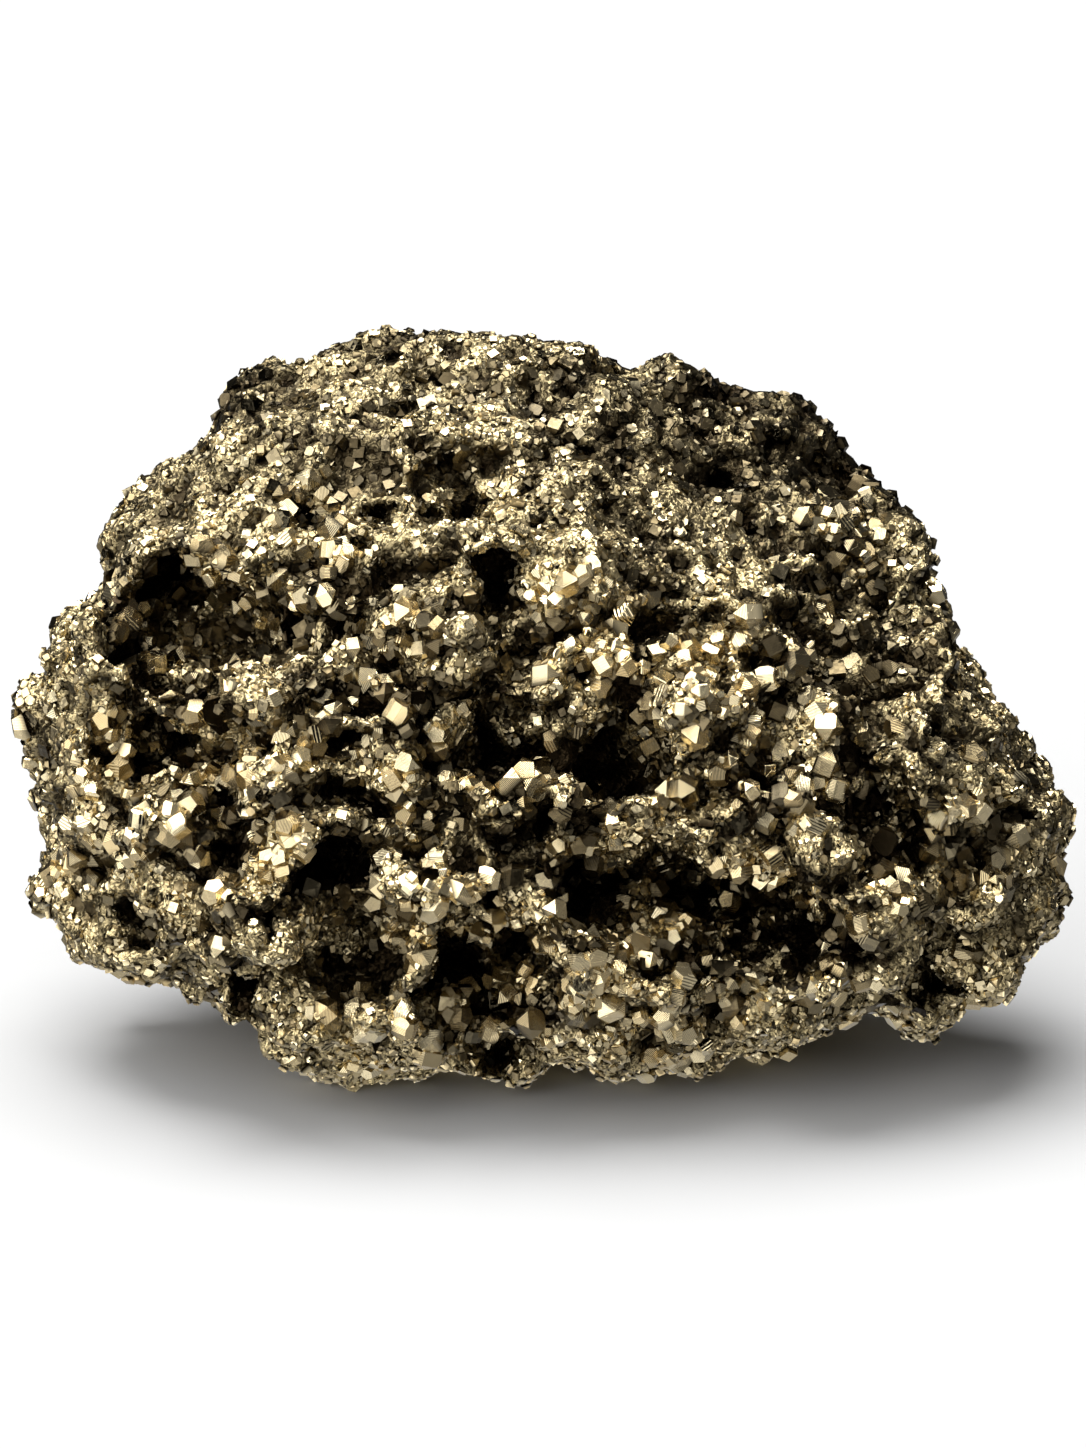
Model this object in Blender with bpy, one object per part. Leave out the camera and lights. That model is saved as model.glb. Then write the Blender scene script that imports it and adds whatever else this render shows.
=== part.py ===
"""Pyrite specimen: one natural lump of intergrown pyrite, with ledges, hollows and flat-faced crystals.

The whole lump grew as one piece, so it is one solid. It is 106 mm wide and rests on a broken, level
underside. +X is to the viewer's right, +Y is away from the viewer, +Z is up.
"""

import math
import random

import bmesh
import bpy
from mathutils import Matrix, Vector, noise
from mathutils.bvhtree import BVHTree

MM = 0.001

# Driving dimensions, in millimetres unless a name says otherwise.
VIEW_TILT_DEG = 18.0  # how far the viewer looks down on the front of the lump
FRONT_DEPTH = 29.0  # from the rim seen in outline to the foremost point
BACK_DEPTH = 33.0
ROUNDNESS = 2.4  # 2 is an ellipsoid, and more is boxier
REST_HEIGHT = 34.7  # of the middle of the front face above the surface that it stands on

# The two sloping upper faces: right, up and out of a point on each, then its fall to the right and upwards.
UPPER_FACES = (
    (0.0, 15.0, 25.0, -0.14, 0.92),
    (2.7, 22.0, 19.0, 0.42, 0.95),
)
FACE_BLEND = 5.0

COARSE_SWELL, COARSE_SCALE = 3.0, 24.0  # height and width of the swellings of the whole lump
KNOB_SWELL, KNOB_SCALE = 5.2, 11.0  # height and width of the knobs that the skin is made of
SMALL_KNOB_SWELL, SMALL_KNOB_SCALE = 1.8, 5.0
CLEFT_BEND = 0.35  # how far the clefts between knobs stray from straight, as a share of a knob's width
BEND_SHIFTS = ((7.3, 0.0, 0.0), (0.0, 19.1, 0.0), (0.0, 0.0, 31.7))
FINE_SKIN_SHARE = 0.4  # the knobs of the fine upper skin, as a share of those below it
RIM_SWELL = 0.4  # all of these at the rim, as a share, because the outline already holds its own
CRUST = 0.7  # added all round, for what the clefts take away from the rim
SMOOTHED_OVER_DEG = 30.0  # stretch of the outline that each part of the skin away from the rim follows
REMESH_VOXEL = 0.7
MASS_TRIANGLES = 5900
FOLD_ROUNDS = 30

SEED = 31

# The outline seen from the front, clockwise from the left: right of and above the middle of the face.
OUTLINE = (
    (-53.0, -1.5), (-51.3, 3.0), (-49.8, 7.0), (-47.0, 11.5), (-44.5, 16.0), (-42.6, 21.0),
    (-38.6, 25.3), (-33.2, 27.6), (-33.0, 30.6), (-29.3, 35.0), (-25.0, 36.6), (-20.3, 37.3),
    (-14.5, 39.2), (-8.0, 39.0), (-2.0, 37.7), (7.0, 36.8), (15.9, 35.6), (25.0, 33.8),
    (29.8, 31.2), (34.6, 26.4), (39.6, 19.4), (43.0, 9.4), (46.8, 3.3), (51.4, -4.2),
    (53.6, -10.5), (52.3, -17.5), (52.2, -21.0), (48.0, -26.5), (40.2, -31.6), (30.0, -32.4),
    (20.0, -34.2), (11.0, -36.8), (-4.0, -37.0), (-14.0, -36.9), (-22.0, -36.2), (-27.0, -33.0),
    (-38.0, -27.5), (-45.5, -24.0), (-49.8, -19.0), (-50.4, -12.0), (-51.8, -6.0),
)

# Ledges: how far each stands out, its half width, and the points that it runs through.
LEDGES = (
    (3.0, 4.0, ((-46.0, 15.0), (-36.0, 17.5), (-22.0, 14.5), (-9.0, 17.5), (2.0, 16.5), (13.0, 15.0))),
    (3.0, 3.6, ((12.0, 15.0), (24.0, 12.0), (33.0, 9.0), (42.0, 0.0))),
    (4.6, 3.4, ((2.0, -12.0), (9.0, -11.0), (16.0, -13.0), (23.0, -16.0), (30.0, -19.0), (37.0, -24.0))),
    (3.4, 3.0, ((21.0, -10.5), (29.0, -9.0), (35.0, -12.0))),
    (3.6, 3.2, ((-32.0, -17.5), (-22.0, -16.0), (-12.0, -15.5), (-1.0, -19.0))),
    (2.6, 3.0, ((-44.0, -23.5), (-33.0, -24.5), (-24.0, -28.0), (-13.0, -31.0))),
    (2.4, 4.0, ((4.0, 33.0), (4.5, 26.0), (2.0, 20.0))),
    (2.2, 3.0, ((-30.0, 27.0), (-20.0, 27.5), (-8.0, 28.0))),
)

# Hollows in front: right, up, width, height and depth, then how far the inner end drifts right and up.
FRONT_HOLLOWS = (
    (-35.4, 10.4, 10.5, 8.6, 13.0, 1.5, 2.0),
    (-35.6, -3.0, 8.6, 5.2, 12.0, 2.0, 0.5),
    (-31.4, -5.6, 7.0, 4.0, 9.0, 1.5, -0.5),
    (-39.0, -19.6, 8.0, 3.6, 8.0, 0.5, 1.0),
    (-22.8, 20.4, 6.0, 4.4, 9.0, 0.0, 1.5),
    (-16.8, 21.3, 5.6, 3.4, 9.0, 0.0, 2.0),
    (-7.2, 22.4, 8.0, 4.8, 9.0, 0.0, 2.5),
    (-26.6, 25.4, 3.2, 3.4, 5.0, 0.0, 0.5),
    (-11.2, 33.0, 3.6, 3.2, 5.0, 0.0, 0.0),
    (-0.4, 33.2, 4.2, 3.2, 6.0, 0.5, 0.5),
    (-3.4, 12.6, 4.0, 5.2, 9.0, 0.0, 1.0),
    (-11.2, 13.4, 4.0, 2.8, 4.5, 0.0, 0.5),
    (-19.8, 2.4, 5.2, 4.2, 7.0, -0.5, 0.5),
    (-4.6, -3.0, 12.0, 5.4, 12.0, 0.0, 1.5),
    (7.6, -4.6, 4.8, 5.2, 9.0, 0.5, 0.5),
    (-17.4, -6.4, 6.4, 6.6, 11.0, 0.0, 0.5),
    (-28.8, -14.2, 5.0, 6.0, 9.0, 0.5, 0.0),
    (-19.2, -14.4, 8.0, 3.2, 7.0, 0.0, 1.5),
    (8.4, -15.6, 8.0, 4.6, 11.0, 1.0, 1.0),
    (16.6, -17.6, 13.5, 9.2, 18.0, 0.5, 2.5),
    (25.4, -20.6, 8.0, 3.8, 10.0, -1.0, 1.5),
    (-6.4, -25.4, 13.0, 6.4, 11.0, 0.5, 1.0),
    (-2.6, -19.4, 6.0, 3.2, 8.0, 0.5, 0.5),
    (1.6, -11.2, 4.2, 4.6, 8.0, 0.0, 0.5),
    (-27.5, -28.4, 9.0, 3.0, 6.0, 0.0, 1.5),
    (-19.4, -24.3, 3.8, 6.0, 7.0, 0.0, 0.5),
    (34.8, -8.4, 6.0, 7.0, 11.0, -0.5, 0.5),
    (38.0, -14.4, 4.6, 4.4, 8.0, -0.5, 0.5),
    (29.6, -5.4, 6.0, 4.0, 9.0, 0.0, 0.5),
    (25.6, -2.4, 5.6, 2.8, 7.0, 0.0, 1.0),
    (46.0, -9.6, 6.0, 3.0, 5.0, 0.0, 0.5),
    (39.6, -27.2, 4.4, 3.6, 5.0, 0.0, 0.5),
    (10.7, -30.6, 2.8, 4.0, 5.0, 0.0, 0.5),
    (18.2, 24.4, 4.0, 3.4, 7.0, 0.0, 0.5),
    (4.7, 27.8, 3.0, 2.8, 5.0, 0.0, 0.5),
    (24.6, 28.0, 4.0, 2.4, 4.0, 0.0, 0.5),
    (30.2, 13.6, 5.0, 3.2, 6.0, -0.5, 0.5),
    (29.5, 6.7, 3.0, 3.5, 5.0, 0.0, 0.5),
    (21.6, 5.4, 4.2, 3.4, 7.0, 0.0, 0.5),
    (17.2, 10.4, 3.4, 3.0, 5.0, 0.0, 0.5),
    (3.4, 4.8, 3.6, 2.8, 6.0, 0.0, 0.5),
    (33.4, -16.2, 3.4, 2.8, 6.0, 0.0, 0.0),
    (-5.5, -33.4, 9.0, 2.9, 5.0, 0.0, 1.0),
)

# Knobs of crystals that stand in front of the hollows: right, up, width, height and how far they stand out.
KNOBS = (
    (-24.0, 0.2, 7.5, 8.5, 3.2),
    (-25.5, -8.0, 7.0, 6.0, 2.8),
    (-12.6, -2.8, 8.0, 8.0, 3.2),
    (-6.0, -8.4, 6.0, 6.5, 3.0),
    (2.2, -7.4, 6.0, 6.0, 3.0),
    (10.6, -19.8, 8.0, 8.0, 3.4),
    (25.4, -26.0, 10.0, 5.6, 3.4),
    (-14.2, -24.8, 7.0, 6.6, 3.2),
    (-27.0, -21.0, 8.0, 6.0, 2.8),
    (-43.0, -8.0, 8.0, 6.0, 2.2),
    (-20.0, 12.6, 6.0, 5.0, 2.6),
    (10.0, 8.4, 8.0, 6.0, 2.6),
    (24.0, -7.0, 7.0, 5.6, 2.8),
    (38.5, -10.4, 6.0, 6.0, 2.6),
    (0.6, -30.4, 8.0, 5.0, 2.8),
    (14.0, 0.4, 7.0, 5.0, 2.4),
)

# Crystals that stand out at a step's distance: right, up, half size, form, and a turn about three axes.
NAMED_CRYSTALS = (
    (-38.4, 11.8, 1.8, "pyritohedron", (20, 10, 30)),
    (-19.6, 18.8, 1.9, "block", (70, 25, 10)),
    (-17.0, 17.0, 1.6, "cube", (15, 40, 5)),
    (-21.8, 21.6, 1.6, "block", (35, 0, 20)),
    (-24.4, 10.0, 1.6, "pyritohedron", (0, 35, 15)),
    (-15.6, 12.6, 2.0, "block", (40, 15, 0)),
    (-18.4, 9.4, 2.0, "pyritohedron", (60, 20, 40)),
    (-35.8, -10.2, 2.4, "pyritohedron", (15, 25, 0)),
    (-34.4, -6.2, 2.1, "block", (50, 5, 35)),
    (-32.0, 0.6, 1.6, "cube", (30, 40, 20)),
    (-18.8, 1.0, 1.6, "block", (10, 45, 0)),
    (-11.6, -15.0, 1.9, "cube", (25, 35, 40)),
    (-9.0, -16.8, 1.6, "cube", (35, 20, 55)),
    (0.2, -5.2, 2.3, "striated", (30, 25, 35)),
    (4.6, -6.2, 1.4, "cube", (10, 30, 20)),
    (8.2, 9.8, 2.3, "block", (35, 30, 10)),
    (3.0, 8.2, 1.6, "pyritohedron", (10, 50, 0)),
    (6.4, 6.4, 2.0, "cube", (45, 35, 20)),
    (11.6, 3.6, 2.3, "cube", (25, 20, 5)),
    (14.2, 0.8, 2.3, "pyritohedron", (35, 10, 20)),
    (8.8, 2.6, 1.9, "block", (5, 40, 30)),
    (20.8, 7.0, 1.9, "block", (50, 20, 15)),
    (20.4, -4.8, 2.2, "block", (30, 20, 45)),
    (28.2, 20.8, 1.6, "pyritohedron", (20, 40, 10)),
    (31.4, 20.8, 1.6, "block", (40, 35, 5)),
    (32.4, 16.4, 1.5, "cube", (30, 15, 50)),
    (6.6, -28.6, 3.0, "plate", (75, 5, 20)),
    (5.4, -24.8, 1.9, "cube", (35, 15, 30)),
    (28.6, -23.8, 1.9, "cube", (20, 35, 10)),
    (38.6, -9.8, 1.7, "striated", (10, 25, 15)),
    (-13.2, -25.2, 1.8, "block", (55, 30, 15)),
    (-28.0, -24.6, 2.0, "pyritohedron", (25, 10, 60)),
    (-10.8, -30.0, 2.0, "block", (20, 45, 10)),
    (20.0, -15.2, 1.7, "pyritohedron", (60, 15, 25)),
    (-43.4, -17.4, 1.5, "block", (15, 35, 30)),
)

HOLLOW_ROUGHNESS, KNOB_ROUGHNESS = 0.9, 0.6
HOLLOW_SPREAD = 1.4  # how much wider a hollow is at its mouth than the dark that shows in it
BACK_HOLLOWS = 34
BACK_HOLLOW_HALF_SIZES = (2.2, 5.6)
BACK_HOLLOW_DEPTHS = (5.0, 10.0)
SCATTERED_CRYSTALS = 40
SCATTERED_HALF_SIZE = (0.9, 1.8)
TABLE_CUT = 80.0  # half the side of the block that is cut away below the surface that it stands on
CRYSTAL_SINK = 0.3  # share of a crystal's half size that its centre lies below the skin

TILT = math.radians(VIEW_TILT_DEG)
FACE_UP = Vector((0.0, math.sin(TILT), math.cos(TILT)))
FACE_OUT = Vector((0.0, -math.cos(TILT), math.sin(TILT)))
MIDDLE = Vector((0.0, 0.0, REST_HEIGHT * MM))


def from_front(right, up, out):
    """A point given by what the viewer sees, in millimetres, as a point in the lump's own axes."""
    return MIDDLE + (Vector((right, 0.0, 0.0)) + up * FACE_UP + out * FACE_OUT) * MM


def clear_scene():
    for obj in list(bpy.data.objects):
        bpy.data.objects.remove(obj)


def add_object(name, mesh):
    obj = bpy.data.objects.new(name, mesh)
    bpy.context.scene.collection.objects.link(obj)
    return obj


def add_from_bmesh(name, bm):
    mesh = bpy.data.meshes.new(name)
    bm.to_mesh(mesh)
    bm.free()
    return add_object(name, mesh)


def outline_radius(angle):
    """Where a ray from the middle of the face, at this angle from the right, leaves the outline."""
    ray = Vector((math.cos(angle), math.sin(angle)))
    for first, second in zip(OUTLINE, OUTLINE[1:] + OUTLINE[:1]):
        a, b = Vector(first), Vector(second)
        side = b - a
        cross = ray.x * side.y - ray.y * side.x
        if abs(cross) < 1e-9:
            continue
        reach = (a.x * side.y - a.y * side.x) / cross
        along = (a.x * ray.y - a.y * ray.x) / cross
        if reach > 0.0 and -1e-6 <= along <= 1.0 + 1e-6:
            return reach
    raise ValueError("the outline has a gap")


def outline_radii():
    """The outline's radius at each whole degree, and the same smoothed over a wide stretch."""
    radii = [outline_radius(math.radians(degree)) for degree in range(360)]
    reach = round(SMOOTHED_OVER_DEG / 2.0)
    smoothed = [
        sum(radii[(degree + step) % 360] for step in range(-reach, reach + 1)) / (2 * reach + 1)
        for degree in range(360)
    ]
    return radii, smoothed


def at_angle(radii, angle):
    degrees = math.degrees(angle) % 360.0
    first = int(degrees) % 360
    share = degrees - int(degrees)
    return radii[first] * (1.0 - share) + radii[(first + 1) % 360] * share


def smooth_min(a, b, blend):
    """The smaller of two lengths, rounded where they cross."""
    share = max(0.0, blend - abs(a - b)) / blend
    return min(a, b) - share * share * blend * 0.25


def skin_point(direction, radii, smoothed):
    """Where the plain skin of the lump lies in a direction, as right, up and out."""
    around = math.atan2(direction.y, direction.x)
    flat = math.hypot(direction.x, direction.y)
    power = 2.0 / ROUNDNESS
    at_rim = flat**4
    radius = at_rim * at_angle(radii, around) + (1.0 - at_rim) * at_angle(smoothed, around)
    depth = FRONT_DEPTH if direction.z > 0.0 else BACK_DEPTH
    out = math.copysign(depth * abs(direction.z) ** power, direction.z)
    right = radius * flat**power * math.cos(around)
    up = radius * flat**power * math.sin(around)
    for face_right, face_up, face_out, fall_right, fall_up in UPPER_FACES:
        face = face_out - fall_right * (right - face_right) - fall_up * (up - face_up)
        out = smooth_min(out, face, FACE_BLEND)
    return Vector((right, up, out))


def distance_to_run(point, run):
    """How far a point of the face lies from a line of points."""
    nearest = math.inf
    for first, second in zip(run, run[1:]):
        a, b = Vector(first), Vector(second)
        side = b - a
        share = max(0.0, min(1.0, (point - a).dot(side) / side.length_squared))
        nearest = min(nearest, (point - a - share * side).length)
    return nearest


def ledge_height(right, up):
    """How far the ledges stand out at a place on the face."""
    height = 0.0
    for reach, half_width, run in LEDGES:
        away = distance_to_run(Vector((right, up)), run) / half_width
        height = max(height, reach * math.exp(-away * away))
    return height


def smooth_step(low, high, value):
    share = max(0.0, min(1.0, (value - low) / (high - low)))
    return share * share * (3.0 - 2.0 * share)


def knob_height(point, scale):
    """From below 0 in the cleft between two knobs to above 0 on a knob's crown."""
    place = point / scale
    bend = Vector(noise.noise(place + Vector(shift)) for shift in BEND_SHIFTS)
    nearest, second = noise.voronoi(place + CLEFT_BEND * bend)[0][:2]
    return smooth_step(0.0, 0.55, second - nearest) - 0.75


def swelling(point):
    """Rounded swellings of the whole lump, and the knobs of crystals a few millimetres across."""
    coarse = noise.fractal(point / COARSE_SCALE, 0.9, 2.1, 3, noise_basis="PERLIN_ORIGINAL")
    fine_skin = smooth_step(12.0, 20.0, point.y) * smooth_step(-14.0, -2.0, point.z)
    share = 1.0 - (1.0 - FINE_SKIN_SHARE) * fine_skin
    knobs = KNOB_SWELL * knob_height(point, KNOB_SCALE)
    small_knobs = SMALL_KNOB_SWELL * knob_height(point, SMALL_KNOB_SCALE)
    return COARSE_SWELL * coarse + share * (knobs + small_knobs)


def make_lump():
    """The lump before anything is hollowed out of it: a ball drawn out to the outline and the depths."""
    bm = bmesh.new()
    bmesh.ops.create_icosphere(bm, subdivisions=6, radius=1.0)
    radii, smoothed = outline_radii()
    placed = []
    for vert in bm.verts:
        direction = vert.co.normalized()
        skin = skin_point(direction, radii, smoothed)
        if direction.z > 0.0:
            skin.z += ledge_height(skin.x, skin.y) * min(1.0, 2.0 * direction.z)
        placed.append(skin)
    for vert, skin in zip(bm.verts, placed):
        vert.co = skin
    bm.normal_update()
    for vert in bm.verts:
        swell = swelling(vert.co) * (RIM_SWELL + (1.0 - RIM_SWELL) * abs(vert.normal.z))
        vert.co = vert.co + vert.normal * (CRUST + swell)
    for vert in bm.verts:
        vert.co = from_front(*vert.co)
    return add_from_bmesh("lump", bm)


def skin_of(obj):
    bm = bmesh.new()
    bm.from_mesh(obj.data)
    tree = BVHTree.FromBMesh(bm)
    bm.free()
    return tree


def seen_from_front(tree, right, up):
    """Where the viewer's line of sight meets the skin, and the skin's direction there."""
    hit, normal, _, _ = tree.ray_cast(from_front(right, up, 150.0), -FACE_OUT)
    if hit is None:
        raise ValueError(f"nothing lies behind {right}, {up}")
    return hit, normal


def rough_ball(name, subdivisions, roughness, offset):
    """A ball with a lumpy skin, one unit in radius."""
    bm = bmesh.new()
    bmesh.ops.create_icosphere(bm, subdivisions=subdivisions, radius=1.0)
    for vert in bm.verts:
        vert.co *= 1.0 + roughness * noise.noise(vert.co * 1.9 + offset)
    return add_from_bmesh(name, bm)


def shaped(obj, place, axes, half, drift=(0.0, 0.0)):
    """Draws a unit ball out along three axes, lets its inner end drift, and puts it in place."""
    right, up, out = axes
    for vert in obj.data.vertices:
        x, y, z = vert.co
        inward = max(0.0, -z)
        vert.co = place + MM * (
            right * (x * half[0] + inward * drift[0])
            + up * (y * half[1] + inward * drift[1])
            + out * z * half[2]
        )
    return obj


def hollow_cutters(tree, chance):
    """Balls that hollow out the pits seen in front, and others like them round the back."""
    cutters = []
    face_axes = (Vector((1.0, 0.0, 0.0)), FACE_UP, FACE_OUT)
    for right, up, width, height, depth, drift_right, drift_up in FRONT_HOLLOWS:
        place, _ = seen_from_front(tree, right, up)
        ball = rough_ball("hollow", 3, HOLLOW_ROUGHNESS, Vector((right, up, 0.0)))
        half = (HOLLOW_SPREAD * width / 2.0, HOLLOW_SPREAD * height / 2.0, depth)
        cutters.append(shaped(ball, place, face_axes, half, (drift_right, drift_up)))
    while len(cutters) < len(FRONT_HOLLOWS) + BACK_HOLLOWS:
        heading = Vector((chance.uniform(-1, 1), chance.uniform(-0.2, 1), chance.uniform(-0.3, 1)))
        if not 0.3 < heading.length < 1.0 or heading.normalized().dot(FACE_OUT) > 0.1:
            continue
        start = MIDDLE + heading.normalized() * 200.0 * MM
        place, normal, _, _ = tree.ray_cast(start, -heading)
        across = normal.orthogonal().normalized()
        axes = (across, normal.cross(across), normal)
        wide = chance.uniform(*BACK_HOLLOW_HALF_SIZES)
        half = (wide, wide * chance.uniform(0.5, 0.9), chance.uniform(*BACK_HOLLOW_DEPTHS))
        ball = rough_ball("hollow", 3, HOLLOW_ROUGHNESS, heading * 40.0)
        cutters.append(shaped(ball, place, axes, half))
    return cutters


def knob_balls(tree):
    """Rough balls that stand on the face as knobs of crystals."""
    balls = []
    for right, up, width, height, reach in KNOBS:
        place, _ = seen_from_front(tree, right, up)
        ball = rough_ball("knob", 3, KNOB_ROUGHNESS, Vector((up, right, 5.0)))
        axes = (Vector((1.0, 0.0, 0.0)), FACE_UP, FACE_OUT)
        half = (width / 2.0, height / 2.0, (width + height) / 3.2)
        sink = (half[2] - reach) * MM * FACE_OUT
        balls.append(shaped(ball, place - sink, axes, half))
    return balls


def combine(obj, others, operation):
    """Joins the others to the object, or cuts them out of it, and removes them."""
    group = bpy.data.collections.new("operands")
    bpy.context.scene.collection.children.link(group)
    for other in others:
        bpy.context.scene.collection.objects.unlink(other)
        group.objects.link(other)
    modifier = obj.modifiers.new(operation.lower(), "BOOLEAN")
    modifier.operation = operation
    modifier.solver = "EXACT"
    modifier.operand_type = "COLLECTION"
    modifier.collection = group
    settle(obj)
    for other in others:
        bpy.data.objects.remove(other)
    bpy.data.collections.remove(group)


def settle(obj):
    """Makes the result of an object's modifiers its own mesh."""
    bpy.context.view_layer.update()
    graph = bpy.context.evaluated_depsgraph_get()
    mesh = bpy.data.meshes.new_from_object(obj.evaluated_get(graph))
    obj.modifiers.clear()
    obj.data = mesh


def thin_out(obj, triangles):
    """Gives the lump an even skin, then fewer and larger facets where it is smooth."""
    remesh = obj.modifiers.new("even_skin", "REMESH")
    remesh.mode = "VOXEL"
    remesh.voxel_size = REMESH_VOXEL * MM
    settle(obj)
    drop_crumbs(obj)
    decimate = obj.modifiers.new("facets", "DECIMATE")
    decimate.ratio = triangles / (2.0 * len(obj.data.polygons))
    decimate.use_collapse_triangulate = True
    settle(obj)
    ease_folds(obj)


def ease_folds(obj):
    """Smooths the few places where the thinning has pushed the skin through itself."""
    bm = bmesh.new()
    bm.from_mesh(obj.data)
    bm.faces.ensure_lookup_table()
    for _ in range(FOLD_ROUNDS):
        tree = BVHTree.FromBMesh(bm)
        folded = set()
        for first, second in tree.overlap(tree):
            corners = set(bm.faces[first].verts), set(bm.faces[second].verts)
            if not corners[0] & corners[1]:
                folded |= corners[0] | corners[1]
        if not folded:
            break
        in_order = sorted(folded, key=lambda vert: vert.index)
        bmesh.ops.smooth_vert(
            bm, verts=in_order, factor=0.5, use_axis_x=True, use_axis_y=True, use_axis_z=True
        )
    bm.to_mesh(obj.data)
    bm.free()


def hull_mesh(name, corners):
    """A convex crystal from its corners, one unit in half size."""
    bm = bmesh.new()
    for corner in corners:
        bm.verts.new(corner)
    bmesh.ops.convex_hull(bm, input=bm.verts)
    bmesh.ops.dissolve_limit(bm, angle_limit=0.01, verts=bm.verts, edges=bm.edges)
    bmesh.ops.recalc_face_normals(bm, faces=bm.faces)
    mesh = bpy.data.meshes.new(name)
    bm.to_mesh(mesh)
    bm.free()
    return mesh


def all_signs(x, y, z):
    return {(x * a, y * b, z * c) for a in (-1, 1) for b in (-1, 1) for c in (-1, 1)}


def turned_round(x, y, z):
    """The corner at x, y, z with every sign, and the two others that the cubic axes repeat it in."""
    return all_signs(x, y, z) | all_signs(y, z, x) | all_signs(z, x, y)


def crystal_forms():
    """The habits that pyrite grows in: cube, cube with cut corners, pyritohedron, tablet and long block."""
    cube = all_signs(0.9, 0.9, 0.9)
    block = turned_round(0.0, 1.0, 1.0) | all_signs(0.86, 0.86, 0.86)
    twelve = all_signs(0.8, 0.8, 0.8) | turned_round(0.0, 1.2, 0.6)
    plate = {(x, y, 0.45 * z) for x, y, z in cube}
    striated = {(0.7 * x, 1.1 * y, 0.9 * z) for x, y, z in cube}
    return {
        "cube": hull_mesh("cube", cube),
        "block": hull_mesh("block", block),
        "pyritohedron": hull_mesh("pyritohedron", twelve),
        "plate": hull_mesh("plate", plate),
        "striated": hull_mesh("striated", striated),
    }


def grow(form, place, normal, half_size, turn):
    """One crystal of a form, sunk a little into the skin."""
    obj = add_object("crystal", form.copy())
    centre = place - normal * CRYSTAL_SINK * half_size * MM
    obj.data.transform(Matrix.Translation(centre) @ turn @ Matrix.Scale(half_size * MM, 4))
    return obj


def turn_of(degrees):
    about_x, about_y, about_z = (math.radians(d) for d in degrees)
    return (
        Matrix.Rotation(about_x, 4, "X")
        @ Matrix.Rotation(about_y, 4, "Y")
        @ Matrix.Rotation(about_z, 4, "Z")
    )


def random_place(bm, areas, chance):
    """A point on the skin, every square millimetre as likely as any other."""
    face = chance.choices(bm.faces, weights=areas)[0]
    a, b, c = (vert.co for vert in face.verts)
    s, t = chance.random(), chance.random()
    if s + t > 1.0:
        s, t = 1.0 - s, 1.0 - t
    return a + (b - a) * s + (c - a) * t, face.normal


def crystals_on(obj, chance):
    """The crystals seen in the photograph at their places, and others strewn over the rest."""
    forms = crystal_forms()
    tree = skin_of(obj)
    grown, taken = [], []
    for right, up, half_size, form, degrees in NAMED_CRYSTALS:
        place, normal = seen_from_front(tree, right, up)
        grown.append(grow(forms[form], place, normal, half_size, turn_of(degrees)))
        taken.append((place, half_size))
    bm = bmesh.new()
    bm.from_mesh(obj.data)
    bm.faces.ensure_lookup_table()
    areas = [face.calc_area() for face in bm.faces]
    common = ("cube", "block", "block", "pyritohedron", "pyritohedron")
    while len(grown) < len(NAMED_CRYSTALS) + SCATTERED_CRYSTALS:
        place, normal = random_place(bm, areas, chance)
        half_size = chance.uniform(*SCATTERED_HALF_SIZE)
        degrees = [chance.uniform(0.0, 90.0) for _ in range(3)]
        form = forms[chance.choice(common)]
        near = any((place - p).length < (half_size + h) * 1.3 * MM for p, h in taken)
        if near or place.z < 3.0 * MM:
            continue
        grown.append(grow(form, place, normal, half_size, turn_of(degrees)))
        taken.append((place, half_size))
    bm.free()
    return grown


def cut_level(obj):
    """Cuts the underside off level, so that the lump rests on a flat."""
    bm = bmesh.new()
    bmesh.ops.create_cube(bm, size=2.0 * TABLE_CUT * MM)
    bmesh.ops.translate(bm, vec=(0.0, 0.0, -TABLE_CUT * MM), verts=bm.verts)
    combine(obj, [add_from_bmesh("below", bm)], "DIFFERENCE")


def drop_crumbs(obj):
    """Removes whatever isn't joined to the lump: crumbs that a hollow cut free, and closed bubbles."""
    bm = bmesh.new()
    bm.from_mesh(obj.data)
    unvisited = set(bm.verts)
    groups = []
    while unvisited:
        group, edge_of_group = set(), {unvisited.pop()}
        while edge_of_group:
            group |= edge_of_group
            edge_of_group = {e.other_vert(v) for v in edge_of_group for e in v.link_edges} - group
        unvisited -= group
        groups.append(group)
    largest = max(groups, key=len)
    loose = [vert for vert in bm.verts if vert not in largest]
    bmesh.ops.delete(bm, geom=loose, context="VERTS")
    bm.to_mesh(obj.data)
    bm.free()


def centre_on_origin(obj):
    """Puts the origin under the middle of the lump, on the surface that it stands on."""
    xs = [vert.co.x for vert in obj.data.vertices]
    ys = [vert.co.y for vert in obj.data.vertices]
    shift = Vector((-(min(xs) + max(xs)) / 2.0, -(min(ys) + max(ys)) / 2.0, 0.0))
    obj.data.transform(Matrix.Translation(shift))
    print("moved by", [round(1000 * c, 2) for c in shift], "mm")


def pyrite_material():
    material = bpy.data.materials.new("pyrite")
    material.use_nodes = True
    shader = material.node_tree.nodes["Principled BSDF"]
    shader.inputs["Base Color"].default_value = (0.49, 0.43, 0.27, 1.0)
    shader.inputs["Metallic"].default_value = 1.0
    shader.inputs["Roughness"].default_value = 0.28
    return material


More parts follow.
